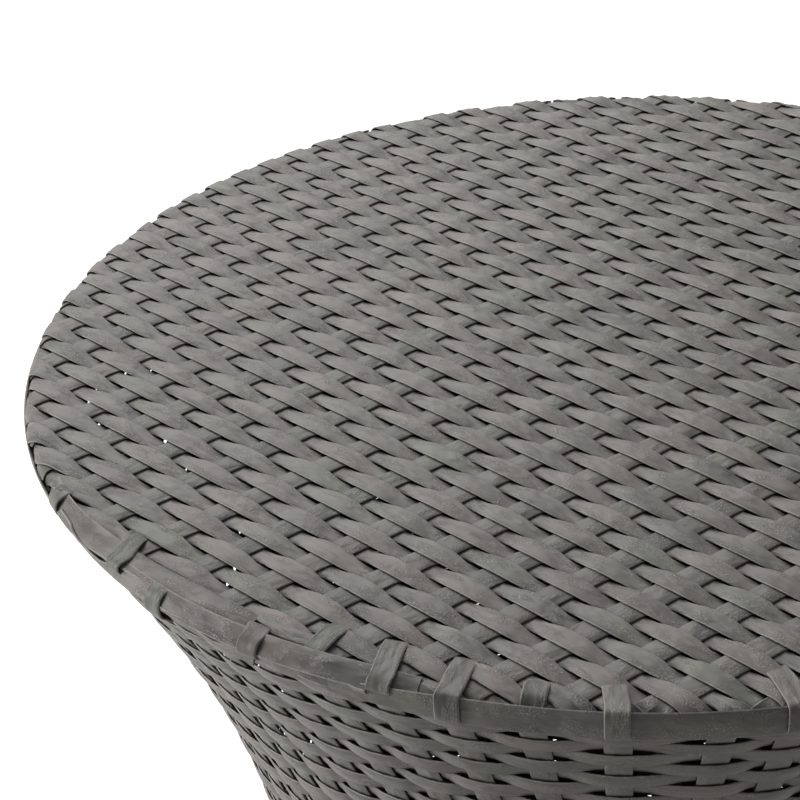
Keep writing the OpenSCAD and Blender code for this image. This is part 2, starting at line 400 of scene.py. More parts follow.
weavers = [one for one in (top_weaver(s) for s in range(-36, 36)) if one]
top_weavers = weave_piece("woven_top_weavers", weavers, wrap_rim)

# %% [markdown]
# ## Stakes of the top
#
# A stake hardly moves up and down: it rises a little over each weaver that dives under it and sinks a
# little under each float. So only short patches of it show, each one between two floats.

# %% Top stakes
TOP_STAKE_W = 0.0093


def top_stake(m0):
    """Stake m0 of the top, or nothing where it would miss the top."""
    fine_k = np.linspace(-50, 50, 4001)
    m = m0 + STAKE_MIDDLE + wobble(fine_k, 0.008, 23.0)
    flat = top_point(m, fine_k)
    rings = rings_over_top(flat, 0.0024)
    if rings is None:
        return None
    k = np.interp(rings, np.arange(len(fine_k)), fine_k)
    flat = np.column_stack([np.interp(rings, np.arange(len(fine_k)), flat[:, i]) for i in (0, 1)])
    lift = -STAKE_LIFT * held_wave(k - 0.5 - m0, 0.3)
    path = np.column_stack([flat, WEAVE_Z + lift])
    width = TOP_STAKE_W * (1 + 0.02 * hand.standard_normal())
    return strand(path, square_to(flat), width, m0 + TOP_STAKE_NO, rise=0.35)


stakes = [one for one in (top_stake(m) for m in range(-13, 14)) if one]
top_stakes = weave_piece("woven_top_stakes", stakes, wrap_rim)

# %% [markdown]
# ## Rows and columns of the side
#
# The side is a plain weave of upright stakes and level weavers. The rows are packed edge to edge, so they
# are spaced by the strand's width along the curve of the side, not by height. The columns stand at even
# angles, apart from the ones in the photograph, whose leans, in degrees, were measured near the rim. From
# DRIFT_Z down they stand at the even places. Every second stake is behind the top row. At the front left
# the rows climb a little towards the rim, as they do in the photograph.

# %% Rows and columns
heights = np.linspace(SIDE_LOW, SIDE_TOP, 4001)
run = np.concatenate([[0], np.cumsum(np.hypot(np.diff(heights), np.diff(side_radius(heights))))])
ROWS = int(round(run[-1] / STRAND_W))
ROW_PITCH = run[-1] / ROWS
row_z = np.interp(run[-1] - (np.arange(ROWS) + 0.5) * ROW_PITCH, run, heights)
MEASURED = {40: 1.3, 41: 0.5, 42: -0.55, 43: -1.1, 44: -1.3, 45: -1.6, 46: -1.85, 47: -1.6,
            48: -0.9, 49: 1.1, 50: 0.75}
lean = np.array([MEASURED.get(i, 0.35 * hand.standard_normal()) for i in range(STAKES)])
kind = np.array([1 if i % 2 == 0 else -1 for i in range(STAKES)])
SWING = 0.00095
STAKE_SWING = 0.00022
SKIN = 0.0017
DRIFT_Z = 0.25
DRIFT_RUN = 0.25
CLIMB = 0.0072
CLIMB_COLUMNS = (33, 39, 42, 44, 45, 46)
CLIMB_SHARES = (0, 0.45, 0.25, 0.3, 0.1, 0)


def drift(z):
    """0 from DRIFT_Z down, growing evenly to 1 near the rim."""
    return np.clip((z - DRIFT_Z) / DRIFT_RUN, 0, 1)


def smooth(share):
    """The same share from 0 to 1 with a soft start and end."""
    return share * share * (3 - 2 * share)


def column_angles(z):
    """Angle of every column at height z, in radians."""
    return np.arange(STAKES) * STEP + np.radians(lean) * smooth(drift(z))


def climb(angle, z):
    """How much higher than its even place a row lies, at an angle and height."""
    return CLIMB * np.interp(angle / STEP % STAKES, CLIMB_COLUMNS, CLIMB_SHARES) * drift(z)


def on_side(angle, z, offset):
    """Point near the woven side, offset outwards from the middle of the weave along the normal."""
    slope = side_slope(z)
    size = np.sqrt(1 + slope * slope)
    radius = side_radius(z) - SKIN + offset / size
    return np.column_stack([radius * np.cos(angle), radius * np.sin(angle), z - offset * slope / size])


def up_the_side(angle, z):
    """Direction that climbs the side at an angle and height."""
    slope = side_slope(z)
    return unit(np.column_stack([slope * np.cos(angle), slope * np.sin(angle), np.ones(len(angle))]))


print(ROWS, "rows,", round(1000 * ROW_PITCH, 2), "mm apart")


# %% [markdown]
# ## Weavers of the side
#
# One weaver is a closed ring here. It lies flat across a stake, swings to the other side of the next
# stake, and does the opposite of the row above. Above LAP_Z it is a little narrower where it dives. Below,
# and all round the back, the rows lap over each other, or the floor would shine through. The rows are
# parted into five bands, one for each CAD node that they replace.

# %% Side weavers
LAP = 0.0010
LAP_Z = 0.26
LAP_RUN = 0.10
ROW_GAP = 0.00015
FLAT_RUN = 0.0040
SWING_STEPS = ((0, 0), (0.25, 0.16), (0.5, 0.5), (0.75, 0.84), (1, 1))


def weaver(row):
    """One row of the side, counted from the top."""
    z0 = row_z[row]
    columns = column_angles(z0)
    after = np.append(columns[1:], columns[0] + 2 * math.pi)
    gap = after - columns
    flat = np.clip(FLAT_RUN / (side_radius(z0) * gap), 0.1, 0.33)
    level = -kind * (-1.0) ** (row + 1)
    next_level = np.append(level[1:], level[0])
    angles = [columns]
    offsets = [level + 0.28 * np.maximum(level, 0)]
    for share, mix in SWING_STEPS:
        angles.append(columns + gap * (flat + (1 - 2 * flat) * share))
        offsets.append(level + (next_level - level) * mix)
    angle = np.stack(angles, 1).ravel()
    offset = SWING * np.stack(offsets, 1).ravel()
    stray = wobble(angle, 0.00022, 2 * math.pi / 5) * np.sin(angle / 2) ** 2
    z = z0 + stray + climb(angle, z0)
    path = on_side(angle, z, offset)
    across = up_the_side(angle, z)
    path = np.vstack([path, path[:1]])
    across = np.vstack([across, across[:1]])
    rise = np.append(offset, offset[0]) / SWING
    back = np.clip((np.sin(np.append(angle, angle[0])) - 0.1) / 0.3, 0, 1)
    lap = LAP * np.maximum(np.clip((LAP_Z - z0) / LAP_RUN, 0, 1), back)
    width = (ROW_PITCH - ROW_GAP + lap) * (1 + 0.012 * hand.standard_normal())
    if z0 > LAP_Z:
        width = width * (1 - 0.09 * np.clip(0.3 - rise, 0, 1) * (1 - back))
    return strand(path, across, width, WEAVER_NO + row, closed=True, rise=rise)


band_limits = [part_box("side_weavers_%d" % (i + 1))[1].z for i in range(5)]
weaver_pieces = []
for band, high in enumerate(band_limits):
    low = band_limits[band - 1] if band else 0
    rows = [row for row in range(ROWS) if low <= row_z[row] < high]
    weaver_pieces.append(weave_piece("woven_side_weavers_%d" % (band + 1), [weaver(row) for row in rows]))

# %% [markdown]
# ## Stakes of the side
#
# A stake runs from the foot to the rim and passes in front of one row and behind the next. Where it is
# squeezed between two rows it bends fast, and the short patch that shows in front of a row is what gives
# the side its brick-like look. A stake that is behind the top row ends there or loops over the rim, where the
# loop takes over. The others end behind the rim band.

# %% Side stakes
STAKE_SHARES = (0.0, 0.28, 0.5, 0.72)


def stake(i):
    """Stake i of the side, counted from the right towards the back."""
    steps = (np.arange(ROWS - 1)[:, None] + np.array(STAKE_SHARES)).ravel()
    steps = np.append(steps, ROWS - 1)
    sign = kind[i] * (-1.0) ** (np.floor(steps + 1e-9) + 1)
    part = steps - np.floor(steps + 1e-9)
    offset = STAKE_SWING * sign * np.select([part < 0.1, part < 0.4, part < 0.6], [1, 0.8, 0], -0.8)
    z = np.interp(steps, np.arange(ROWS), row_z)
    angle = i * STEP + np.radians(lean[i]) * smooth(drift(z))
    path = on_side(angle, z + climb(angle, z), offset)
    foot = on_side(angle[-1:], np.array([0.0155]), np.array([0.0]))
    path = np.vstack([path, foot])[::-1]
    if kind[i] < 0:
        tip = on_side(angle[:1], np.array([0.5405]), np.array([-0.0007]))
        end = np.array([[0.2278 * math.cos(angle[0]), 0.2278 * math.sin(angle[0]), 0.5445]])
        path = np.vstack([path, tip, end])
    turn = np.arctan2(path[:, 1], path[:, 0])
    across = np.column_stack([np.sin(turn), -np.cos(turn), np.zeros(len(turn))])
    return strand(path, across, STRAND_W * (1 + 0.015 * hand.standard_normal()), STAKE_NO + i, rise=0.3)


stake_pieces = []
for half in (0, 1):
    chosen = range(half * STAKES // 2, (half + 1) * STAKES // 2)
    stake_pieces.append(weave_piece("woven_side_stakes_%d" % (half + 1), [stake(i) for i in chosen]))

# %% [markdown]
# ## Bands round the rim and the foot
#
# One strand stands on edge round the rim, and another round the foot. The rim's starts at the front, where
# its top edge is a crisp corner that hides the ends of the top's strands. Round the right, the back and the
# left it lies lower, and there the weave rolls over the rim above it. It runs on low under the shoulder at
# the front left. There two laps lie cupped on the shoulder and cover its start, the cut ends of two strands
# show beside them, and a spare row fills the room below. A strand here is drawn as a list of stops: the
# angle, the radius, the height, how far its section leans in from upright, and its width, in degrees and
# millimetres.

# %% Rim and foot bands
BAND_STEP = 1.2


def soften(line, times):
    """Rounds the corners of a row of numbers or points in place, with its two ends held."""
    for _ in range(times):
        line[1:-1] = (line[:-2] + 2 * line[1:-1] + line[2:]) / 4


def band_path(stops, number, cup=0.0):
    """A strand through stops of degrees, radius, height, lean and width."""
    stops = np.array(stops, float)
    count = int((stops[-1, 0] - stops[0, 0]) / BAND_STEP) + 2
    degrees = np.linspace(stops[0, 0], stops[-1, 0], count)
    lines = [np.interp(degrees, stops[:, 0], stops[:, i]) for i in (1, 2, 3, 4)]
    for line in lines:
        soften(line, 4)
    radius, height, inward, width = lines
    angle = np.radians(degrees)
    tilt = np.radians(inward)
    radius = radius / 1000 + wobble(angle, 0.00008, 0.7)
    path = np.column_stack([radius * np.cos(angle), radius * np.sin(angle), height / 1000])
    across = np.column_stack([-np.sin(tilt) * np.cos(angle), -np.sin(tilt) * np.sin(angle), np.cos(tilt)])
    return strand(path, across, width / 1000, number, cup=cup)


RIM_STOPS = [(-112.8, 229.3, 545.0, 2, 3.8), (-110, 229.4, 545.4, 2, 6.4), (-107, 229.4, 545.6, 2, 7.6),
             (-104, 229.4, 545.9, 1, 9.0), (-100, 229.3, 546.0, 0, 10.1), (-20, 229.3, 545.9, 0, 10.2),
             (-5, 229.3, 545.0, 0, 9.4), (12, 228.7, 541.8, -12, 8.4), (50, 227.8, 541.3, -28, 8.4),
             (200, 227.8, 541.4, -28, 8.4), (211, 227.9, 542.0, -24, 8.4), (218, 227.9, 542.6, -18, 8.2),
             (223.5, 227.4, 542.8, -12, 8.0), (232, 227.2, 543.2, -12, 8.0), (245, 227.2, 543.4, -12, 8.0)]
SHOULDER = [(-140, 227.9, 546.4, 24, 7.4), (-137, 228.6, 547.6, 34, 7.2), (-132, 228.9, 548.6, 40, 7.0),
            (-128, 228.9, 548.8, 42, 7.0), (-124, 228.7, 549.1, 47, 7.2), (-119, 228.1, 549.4, 56, 7.6),
            (-115, 227.5, 549.5, 60, 7.9), (-110, 226.7, 549.6, 67, 8.4), (-107.5, 226.0, 549.2, 68, 8.4),
            (-105.8, 225.4, 548.0, 66, 8.0)]
TOP_LAP = [(-151, 226.4, 546.6, 34, 8.0), (-148, 227.7, 548.0, 40, 8.0), (-144, 227.6, 548.3, 44, 8.2),
           (-141, 226.9, 549.2, 58, 8.4), (-139, 226.1, 549.9, 72, 8.5), (-137, 225.4, 550.2, 82, 8.6),
           (-134, 224.2, 550.3, 87, 8.8), (-130, 222.5, 550.4, 88, 9.0), (-123.6, 221.3, 550.4, 88, 9.0),
           (-122.2, 221.2, 549.9, 84, 9.0), (-121.4, 221.1, 548.7, 80, 8.8)]
LEFT_END = [(-142.2, 219.9, 549.0, 88, 5.0), (-139.6, 219.0, 549.2, 88, 5.0), (-137.8, 218.5, 549.0, 88, 5.0)]
FRONT_END = [(-119.6, 219.8, 549.5, 84, 5.4), (-117, 219.9, 549.8, 84, 5.4), (-115.6, 219.6, 549.4, 84, 5.4)]
FOOT_Z = 1000 * BASE_CLEAR + 4.2
FOOT_STOPS = [(0, 224.3, FOOT_Z, 0, 8.4), (360.4, 224.3, FOOT_Z, 0, 8.4)]


def spare_row(first, last, height):
    """A short weaver over the top row, between the stakes first and last."""
    turns = column_angles(height)[first:last + 1]
    angle = np.concatenate([np.linspace(a, b, 6)[:-1] for a, b in zip(turns[:-1], turns[1:])])
    place = np.interp(angle, turns, np.arange(first, last + 1))
    offset = SWING * held_wave(place - first + (kind[first] < 0), 0.3)
    z = np.full(len(angle), height)
    return strand(on_side(angle, z, -offset), up_the_side(angle, z), ROW_PITCH, 904)


rim_band = weave_piece("woven_rim_band", [band_path(RIM_STOPS, 900)])
rim_laps = weave_piece("woven_rim_laps", [band_path(SHOULDER, 902, 0.0007), band_path(TOP_LAP, 903, 0.0005),
                                          band_path(LEFT_END, 905), band_path(FRONT_END, 906),
                                          spare_row(38, 45, SIDE_TOP + 0.0035)])
foot_band = weave_piece("woven_foot_band", [band_path(FOOT_STOPS, 901)])

# %% [markdown]
# ## Loops over the rim
#
# Along the front and the right, a looped stake comes out between the top row and the band, climbs over the
# band, bends over the rim and runs in over the top until it tucks under a weaver. The photograph shows a few
# that go another way: over a lap, under it, or up behind the band. Each way is a list of radius and height
# in millimetres, and a loop is that list laid at its stake's angle. Its habit says how many degrees it
# stands to one side, how many it leans as it runs in, and how far it reaches. The habits of the loops at
# the front left were read from the photograph, and the others are left to chance.

# %% Rim loops
SIDE_START = [(226.6, 538.6), (228.0, 540.4), (230.3, 542.0)]
OVER_BAND = SIDE_START + [(230.7, 544.2), (230.8, 548.4), (230.6, 550.2), (229.9, 550.9), (228.6, 551.1),
                          (226.5, 550.8), (223.0, 550.4), (218.5, 550.3), (215.0, 549.8), (212.0, 548.8),
                          (210.0, 548.4)]
OVER_TOP_LAP = [(228.6, 546.6), (230.1, 548.4), (230.1, 550.0), (228.8, 551.0), (226.0, 551.1),
                (221.0, 551.1), (217.0, 550.9), (214.5, 550.0), (212.5, 549.0)]
LOW_OVER_SHOULDER = [(227.6, 543.6), (229.6, 544.6), (230.9, 545.8), (231.1, 547.6), (230.2, 549.5),
                     (228.4, 550.6), (225.5, 550.9), (221.0, 550.6), (217.5, 550.0), (214.5, 549.0)]
HUG_SHOULDER = [(227.6, 542.4), (229.0, 543.6), (229.7, 545.0), (229.8, 547.0), (229.2, 548.8),
                (227.6, 550.0), (225.0, 550.4), (221.0, 550.2), (217.5, 549.6)]
UNDER_TOP_LAP = SIDE_START + [(231.0, 544.2), (231.1, 546.6), (230.3, 548.9), (228.7, 550.3), (226.9, 550.6),
                              (225.0, 550.0)]
BEHIND_BAND = [(226.9, 541.5), (227.4, 545.0), (227.2, 548.0), (226.0, 549.9), (223.8, 550.8), (220.0, 550.9),
               (216.0, 550.5), (212.5, 549.6), (210.0, 548.8)]
BEHIND_SHOULDER = [(225.8, 544.0), (226.0, 547.4), (224.8, 549.5), (222.6, 550.5), (218.0, 550.8),
                   (213.5, 550.6), (210.5, 549.7), (208.5, 548.9)]
SHOULDER_ONLY = [(228.4, 545.6), (229.9, 547.2), (230.3, 548.7), (229.5, 550.2), (227.8, 550.9),
                 (225.2, 551.1), (221.0, 551.1), (216.0, 550.9), (212.5, 550.0), (210.0, 548.9)]
LOOP_WAYS = {38: HUG_SHOULDER, 40: OVER_TOP_LAP, 41: UNDER_TOP_LAP, 43: LOW_OVER_SHOULDER,
             44: BEHIND_SHOULDER, 45: SHOULDER_ONLY, 47: BEHIND_BAND}
for i in range(46, 75, 2):
    LOOP_WAYS[i] = OVER_BAND
LOOP_HABITS = {38: (-1.7, -24, 0.3), 40: (-2.3, -36, 0.9), 41: (-1.4, 0, 1.0), 43: (-0.7, -24, 0.5),
               44: (-1.1, 2, 1.0), 45: (-0.1, -11, 1.1), 46: (-0.1, -1, 1.05), 47: (0.2, 0, 0.65)}
LOOP_W = 0.90 * STRAND_W
REACH_R = 0.226


def turned_strand(profile, angle, width, number, side=0.0):
    """A strand whose path is a row of radius and height, stood at an angle and moved to one side."""
    path = np.column_stack([
        profile[:, 0] * math.cos(angle) - side * math.sin(angle),
        profile[:, 0] * math.sin(angle) + side * math.cos(angle),
        profile[:, 1],
    ])
    across = np.tile([math.sin(angle), -math.cos(angle), 0.0], (len(path), 1))
    return strand(path, across, width, number)


def rim_loop(i):
    """The loop of stake i."""
    habit = (0.0, -8 + 12 * hand.random(), 1 + 0.12 * hand.standard_normal())
    turn, lean_in, reach = LOOP_HABITS.get(i, habit)
    angle = column_angles(TOP)[i % STAKES] + math.radians(turn)
    profile = np.array(LOOP_WAYS[i]) / 1000
    corners = np.arange(len(profile))
    fine = np.linspace(0, corners[-1], 3 * len(profile) - 2)
    profile = np.column_stack([np.interp(fine, corners, column) for column in profile.T])
    soften(profile, 2)
    inward = np.maximum(REACH_R - profile[:, 0], 0) * (profile[:, 1] > TOP - 0.004)
    profile[:, 0] -= inward * (reach - 1)
    side = math.tan(math.radians(lean_in)) * inward * reach
    return turned_strand(profile, angle, LOOP_W * (1 + 0.02 * hand.standard_normal()), STAKE_NO + i, side)


rim_loops = weave_piece("woven_rim_loops", [rim_loop(i) for i in sorted(LOOP_WAYS)])

# %% [markdown]
# ## Wraps round the base ring
#
# The stakes between the loops pass under the base ring and up its inside, which closes the weave below.

# %% Foot wraps
WRAP_BEND = 0.0018


def foot_wrap(i):
    """The wrap of stake i, from the inside of the base ring to the foot of the side."""
    out = FOOT_R - 0.0011
    low = BASE_CLEAR - LAY - LAYER_T / 2
    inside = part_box("base_ring")[1].x - BASE_TUBE - LAY - LAYER_T / 2
    turn = np.linspace(0, math.pi / 2, 5)
    high = low + WRAP_BEND
    outer = [(out - WRAP_BEND * (1 - math.cos(t)), high - WRAP_BEND * math.sin(t)) for t in turn]
    inner = [(inside + WRAP_BEND * (1 - math.sin(t)), high - WRAP_BEND * math.cos(t)) for t in turn]
    profile = np.array([(out, low + 0.009)] + outer + inner + [(inside, low + BASE_TUBE)])
    return turned_strand(profile[::-1], i * STEP, STRAND_W, STAKE_NO + i)


foot_wraps = weave_piece("woven_foot_wraps", [foot_wrap(i) for i in range(1, STAKES, 2)])

# %% [markdown]
# ## Writing a finish as maths
#
# A finish is a graph of nodes. Wiring it by hand hides what it does, so a small class wraps a socket and
# turns Python's + - * into Math nodes. Every other node comes from one method, which sets the node's
# own settings first and then feeds its sockets.

# %% Finish helpers
class Wire:
    """An output socket that can be used in a Python expression."""

    def __init__(self, finish, socket):
        self.finish = finish
        self.socket = socket

    def maths(self, operation, first, second):
        return self.finish.node("ShaderNodeMath", {"operation": operation}, {0: first, 1: second})

    def __add__(self, other):
        return self.maths("ADD", self, other)

    def __radd__(self, other):
        return self.maths("ADD", other, self)

    def __sub__(self, other):
        return self.maths("SUBTRACT", self, other)

    def __rsub__(self, other):
        return self.maths("SUBTRACT", other, self)

    def __mul__(self, other):
        return self.maths("MULTIPLY", self, other)

    def __rmul__(self, other):
        return self.maths("MULTIPLY", other, self)


class Finish:
    """A material and the one method that adds nodes to it."""

    def __init__(self, name):
        self.material = bpy.data.materials.new(name)
        self.material.use_nodes = True
        self.tree = self.material.node_tree
        self.shader = self.tree.nodes["Principled BSDF"]

    def feed(self, socket, value):
        if isinstance(value, Wire):
            self.tree.links.new(value.socket, socket)
        else:
            socket.default_value = value

    def node(self, kind, settings=None, inputs=None, output=0):
        made = self.tree.nodes.new(kind)
        for key, value in (settings or {}).items():
            setattr(made, key, value)
        for key, value in (inputs or {}).items():
            self.feed(made.inputs[key], value)
        return Wire(self, made.outputs[output])

    def noise(self, vector, scale, detail=2.0):
        return self.node("ShaderNodeTexNoise", None, {"Vector": vector, "Scale": scale, "Detail": detail})

    def spread(self, value, low, high):
        """Stretches a value so that low becomes 0 and high becomes 1, held at both ends."""
        return self.node("ShaderNodeMapRange", None, {0: value, 1: low, 2: high})

    def blend(self, share, first, second):
        """A colour between two others."""
        return self.node("ShaderNodeMix", {"data_type": "RGBA"}, {0: share, 6: first, 7: second}, 2)

    def stretch(self, vector, sizes):
        """A vector with each of its three parts multiplied."""
        return self.node("ShaderNodeVectorMath", {"operation": "MULTIPLY"}, {0: vector, 1: sizes})

    def bump(self, height, distance, over=None):
        """A bump from a height, laid over another bump if there is one."""
        inputs = {"Height": height, "Distance": distance}
        if over:
            inputs["Normal"] = over
        return self.node("ShaderNodeBump", None, inputs)


def tinted(colour, factors):
    """A colour with its red, green and blue multiplied."""
    return tuple(part * factor for part, factor in zip(colour, factors)) + (1.0,)


def paint(finish, objects):
    """Gives every object in a list the same finish."""
    for item in objects:
        item.data.materials.clear()
        item.data.materials.append(finish.material)


# %% [markdown]
# ## Resin strand
#
# The strand is extruded plastic, coloured through, with a mottled grey that changes from strand to strand
# and along each one. It has a faint embossed grain, whose ridges show pale specks here and there, partly
# wear and partly painted glints, and a soft sheen. The lay attribute gives the place on the strand: x along
# it, y across it, z its number. A white noise on the number gives each strand its own tone of grey and its
# own hint of green or pink.
#
# The rise attribute says where the strand floats and where it dives. On a float its cut edges are painted
# pale, a painted highlight. In a dive the crease along both edges is painted dark, and right under the
# crossing the strand is painted all dark: painted shade where the neighbours shut out the light. The strands
# that stand upright or run across the weave are a shade darker than the ones woven through them.

# %% Strand finish
# Near-black colour of the painted shade in the dives of the weave.
PAINTED_SHADE_BLACK = (0.003, 0.003, 0.003, 1.0)


def strand_finish(name, pale, deep):
    """The finish of woven strands, between a pale and a deep grey."""
    finish = Finish(name)
    rise = finish.node("ShaderNodeAttribute", {"attribute_name": "rise"}, None, 2)
    lay = finish.node("ShaderNodeAttribute", {"attribute_name": "lay"}, None, 1)
    parts = finish.node("ShaderNodeSeparateXYZ", None, {0: lay}, 2)
    number = finish.node("ShaderNodeMath", {"operation": "ROUND"}, {0: parts})
    place = finish.node("ShaderNodeSeparateXYZ", None, {0: lay}, 1)
    edge = finish.node("ShaderNodeMath", {"operation": "ABSOLUTE"}, {0: place})
    own = finish.node("ShaderNodeTexWhiteNoise", {"noise_dimensions": "1D"}, {"W": number})
    other = finish.node("ShaderNodeTexWhiteNoise", {"noise_dimensions": "1D"}, {"W": number + 0.5})
    patches = finish.noise(finish.stretch(lay, (46.0, 0.5, 3.7)), 1.0, 3.0)
    streaks = finish.noise(finish.stretch(lay, (70.0, 5.4, 5.1)), 1.0, 2.0)
    grain = finish.noise(finish.stretch(lay, (1500.0, 9.0, 7.3)), 1.0, 3.0)
    dents = finish.noise(finish.stretch(lay, (110.0, 0.8, 6.1)), 1.0, 1.0)
    worn = finish.spread(finish.noise(finish.stretch(lay, (90.0, 0.9, 8.3)), 1.0, 2.0), 0.45, 0.62)
    tone = 0.30 * own + 0.75 * finish.spread(patches, 0.33, 0.67) + 0.25 * streaks - 0.12
    body = finish.blend(finish.spread(tone, 0.0, 1.0), deep, pale)
    hint = finish.blend(other, tinted(pale, (0.86, 0.95, 0.80)), tinted(pale, (1.04, 0.88, 0.88)))
    clouds = finish.noise(finish.stretch(lay, (21.0, 0.3, 9.1)), 1.0, 1.0)
    colour = finish.blend(0.65 * finish.spread(clouds, 0.35, 0.65), body, hint)
    # A pale colour, used for the worn specks with their painted glints and for the painted highlight on the
    # edges of floats.
    wear_and_highlight_pale = tinted(pale, (1.9, 1.9, 1.9))
    # Pale specks on the worn grain: partly wear, partly painted glints of the grain.
    specks_and_glints = worn * finish.spread(grain, 0.52, 0.68)
    colour = finish.blend(0.85 * specks_and_glints, colour, wear_and_highlight_pale)
    # Painted highlight: the cut edges of a float are painted pale, where light catches them.
    painted_edge_highlight = finish.spread(edge, 0.91, 0.97) * finish.spread(rise, 0.05, 0.5)
    colour = finish.blend(0.6 * painted_edge_highlight, colour, wear_and_highlight_pale)
    # Painted shade: the crease along both edges of a dive, and the whole strand right under a crossing, are
    # painted near black where shade falls.
    dive = 0.0 - rise
    crease_shade = finish.spread(edge, 0.38, 0.78) * finish.spread(dive, 0.05, 0.6)
    under = finish.spread(dive, 0.955, 0.995)
    painted_shade = finish.node("ShaderNodeMath", {"operation": "MAXIMUM"}, {0: crease_shade, 1: under})
    colour = finish.blend(0.97 * painted_shade, colour, PAINTED_SHADE_BLACK)
    finish.feed(finish.shader.inputs["Base Color"], colour)
    finish.feed(finish.shader.inputs["Roughness"], 0.38 + 0.16 * streaks + 0.14 * patches)
    fine = finish.bump(grain * worn, 0.00042)
    finish.feed(finish.shader.inputs["Normal"], finish.bump(dents, 0.0009, fine))
    finish.shader.inputs["Specular IOR Level"].default_value = 0.3
    return finish


resin = strand_finish("resin_strand", (0.209, 0.199, 0.185, 1.0), (0.050, 0.047, 0.043, 1.0))
dark_resin = strand_finish("resin_strand_shade", (0.170, 0.166, 0.153, 1.0), (0.045, 0.045, 0.041, 1.0))
woven = [top_weavers, rim_band, rim_laps, foot_band] + weaver_pieces
upright = [top_stakes, rim_loops, foot_wraps] + stake_pieces
paint(resin, woven)
paint(dark_resin, upright)
print("resin strand on", len(woven) + len(upright), "pieces")

# %% [markdown]
# ## Powder coat, zinc and moulded plastic
#
# The frame is powder coated: dark grey, satin, with the fine orange peel of melted powder. The inserts and
# studs are zinc plated, with a slightly uneven shine. The studs carry a screw thread, drawn as a bump that
# climbs one pitch for each turn. The feet are black moulded plastic with a fine spark-eroded texture.

# %% Frame, stud and foot finishes
THREAD_PITCH = 0.00125


def powder_finish():
    """Dark grey powder coat."""
    finish = Finish("powder_coat")
    place = finish.node("ShaderNodeTexCoord", None, None, 3)
    peel = finish.noise(place, 900.0, 3.0)
    cloud = finish.noise(place, 24.0, 2.0)
    colour = finish.blend(cloud, (0.030, 0.028, 0.026, 1.0), (0.055, 0.051, 0.047, 1.0))
    finish.feed(finish.shader.inputs["Base Color"], colour)
    finish.feed(finish.shader.inputs["Roughness"], 0.38 + 0.2 * peel)
    finish.feed(finish.shader.inputs["Normal"], finish.bump(peel, 0.00015))
    return finish


def zinc_finish(name, centre=None):
    """Zinc plate, with a screw thread round the upright axis through centre if there is one."""
    finish = Finish(name)
    place = finish.node("ShaderNodeTexCoord", None, None, 3)
    patina = finish.noise(place, 260.0, 4.0)
    brushed = finish.noise(finish.stretch(place, (1.0, 1.0, 14.0)), 500.0, 2.0)
    colour = finish.blend(patina, (0.56, 0.57, 0.58, 1.0), (0.74, 0.74, 0.72, 1.0))
    finish.feed(finish.shader.inputs["Base Color"], colour)
    finish.feed(finish.shader.inputs["Roughness"], 0.20 + 0.22 * patina)
    height = 0.15 * brushed
    if centre:
        x = finish.node("ShaderNodeSeparateXYZ", None, {0: place}, 0) - centre[0]
        y = finish.node("ShaderNodeSeparateXYZ", None, {0: place}, 1) - centre[1]
        z = finish.node("ShaderNodeSeparateXYZ", None, {0: place}, 2)
        turn = finish.node("ShaderNodeMath", {"operation": "ARCTAN2"}, {0: y, 1: x})
        ramp = finish.node("ShaderNodeMath", {"operation": "PINGPONG"},
                           {0: z * (1 / THREAD_PITCH) + turn * (0.5 / math.pi) + 8.0, 1: 0.5})
        height = height + 2.0 * ramp
    finish.feed(finish.shader.inputs["Normal"], finish.bump(height, 0.0004))
    finish.shader.inputs["Metallic"].default_value = 1.0
    return finish


def plastic_finish():
    """Black moulded plastic."""
    finish = Finish("moulded_foot")
    place = finish.node("ShaderNodeTexCoord", None, None, 3)
    spark = finish.noise(place, 2600.0, 2.0)
    scuff = finish.noise(place, 120.0, 4.0)
    colour = finish.blend(scuff, (0.012, 0.012, 0.013, 1.0), (0.030, 0.030, 0.031, 1.0))
    finish.feed(finish.shader.inputs["Base Color"], colour)
    finish.feed(finish.shader.inputs["Roughness"], 0.45 + 0.25 * scuff)
    finish.feed(finish.shader.inputs["Normal"], finish.bump(spark, 0.0001))
    return finish


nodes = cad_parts
steel_frame = ["top_ring", "cross_bar_long", "cross_bar_front", "cross_bar_back", "upper_hoop",
               "waist_hoop", "lower_hoop", "base_ring"] + ["upright_%d" % (i + 1) for i in range(8)]
paint(powder_finish(), [nodes[name] for name in steel_frame])
paint(zinc_finish("zinc_plate"), [nodes["glide_insert_%d" % (i + 1)] for i in range(4)])
paint(plastic_finish(), [nodes["glide_foot_%d" % (i + 1)] for i in range(4)])
for i in range(4):
    low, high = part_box("glide_stud_%d" % (i + 1))
    middle = (low + high) / 2
    paint(zinc_finish("zinc_thread_%d" % (i + 1), (middle.x, middle.y)), [nodes["glide_stud_%d" % (i + 1)]])
print("finished", len(steel_frame) + 12, "CAD nodes")

# %% [markdown]
# ## Who rides on what
#
# The whole weave is fixed to the frame, so every piece rides on the body called table. Each piece hides
# the plain CAD layer that it stands for.

# %% Ride and replace
REPLACES = {
    top_weavers: ("top_weavers", "strand_tails"),
    top_stakes: ("top_stakes",),
    rim_band: ("rim_band",),
    rim_laps: ("rim_band",),
    rim_loops: ("rim_loops",),
    foot_band: ("foot_band",),
    foot_wraps: ("foot_wraps",),
    stake_pieces[0]: ("side_stakes",),
    stake_pieces[1]: ("side_stakes",),
}
for number, piece in enumerate(weaver_pieces):
    REPLACES[piece] = ("side_weavers_%d" % (number + 1),)
for piece, names in REPLACES.items():
    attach(piece, "table")
    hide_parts(*names)
print(len(REPLACES), "pieces ride on the table")

# %% [markdown]
# ## Floor, light and background
#
# The photograph has a white background and a soft light from above and a little behind on the left. The
# floor is pale and keeps the table's shadow. For what the camera sees, and for reflections, a glow is
# added to it, so that it reads as white without more light on the table. The glow fades out under the
# table, which paints a shadow there, so the gaps of the weave stay dark too.

